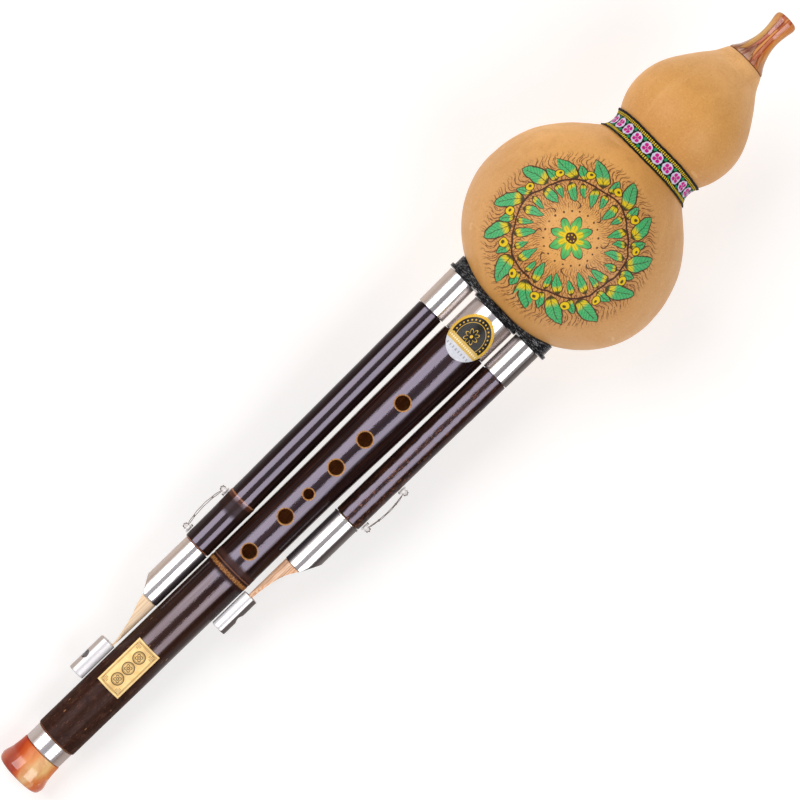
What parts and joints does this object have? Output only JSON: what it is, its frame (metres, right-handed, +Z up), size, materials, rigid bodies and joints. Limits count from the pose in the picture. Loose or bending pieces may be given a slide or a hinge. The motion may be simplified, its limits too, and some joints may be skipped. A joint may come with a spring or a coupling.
{
  "type": "hulusi",
  "caption": "Gourd wind chest with mouthpiece, a finger pipe with a bell and drone pipes with pull-out stoppers, each with its own free reed.",
  "frame": {"origin": "centre of the instrument's footprint on the ground, lying on its back on the lower bulb and the rim of the bell", "axes": "+X towards the mouthpiece, seen from above; +Z up, out of the finger holes; +Y to the long drone's side. The pipes' own axis rises 6.64 degrees towards the mouthpiece."},
  "size_m": [0.4838, 0.1038, 0.1037],
  "materials": {
    "gourd": "satin, softly mottled ochre",
    "ribbon": "woven, black ground with coloured flowers",
    "amber_resin": "polished, streaked amber",
    "marbled_resin": "polished, marbled orange and cream",
    "black_rubber": "glossy moulded",
    "lacquered_bamboo": "dark gloss lacquer",
    "speckled_bamboo": "dark lacquer over rough red-brown skin",
    "white_metal": "mirror polished",
    "dark_resin": "moulded",
    "reed_brass": "filed sheet",
    "gold_plate": "satin, with dark lines",
    "label_foil": "glossy foil paper",
    "pale_wood": "bare, fine grain",
    "ruddy_wood": "bare, fine grain"
  },
  "bodies": {
    "gourd": {"gourd_body": "gourd", "waist_ribbon": "ribbon", "mouthpiece": "amber_resin", "pipe_seat": "black_rubber"},
    "main_pipe": {"main_pipe": "lacquered_bamboo", "main_ferrule": "white_metal", "main_reed_tube": "dark_resin", "main_reed_plate": "reed_brass", "main_reed_tube_cap": "dark_resin", "bell": "marbled_resin", "bell_ferrule": "white_metal", "pipe_plaque": "gold_plate", "round_label": "label_foil"},
    "left_drone": {"left_drone_pipe": "lacquered_bamboo", "left_ferrule": "white_metal", "left_reed_tube": "dark_resin", "left_reed_plate": "reed_brass", "left_reed_tube_cap": "dark_resin", "left_loop": "white_metal", "left_outlet_sleeve": "white_metal"},
    "left_stopper": {"left_stopper": "pale_wood", "left_stopper_cap": "white_metal"},
    "right_drone": {"right_drone_pipe": "speckled_bamboo", "right_ferrule": "white_metal", "right_reed_tube": "dark_resin", "right_reed_plate": "reed_brass", "right_reed_tube_cap": "dark_resin", "right_loop": "white_metal", "right_outlet_sleeve": "white_metal"},
    "right_stopper": {"right_stopper": "ruddy_wood", "right_stopper_cap": "white_metal"}
  },
  "joints": [
    {"name": "main_pipe_slide", "type": "slide", "parent": "gourd", "child": "main_pipe", "axis": [-0.9933, 0, -0.1156], "range_m": [0, 0.008]},
    {"name": "left_drone_slide", "type": "slide", "parent": "gourd", "child": "left_drone", "axis": [-0.9931, -0.0187, -0.1156], "range_m": [0, 0.008]},
    {"name": "right_drone_slide", "type": "slide", "parent": "gourd", "child": "right_drone", "axis": [-0.9933, 0, -0.1156], "range_m": [0, 0.008]},
    {"name": "left_stopper_pull", "type": "slide", "parent": "left_drone", "child": "left_stopper", "axis": [-0.9933, 0, -0.1156], "range_m": [0, 0.018]},
    {"name": "right_stopper_pull", "type": "slide", "parent": "right_drone", "child": "right_stopper", "axis": [-0.9933, 0, -0.1156], "range_m": [0, 0.018]}
  ]
}
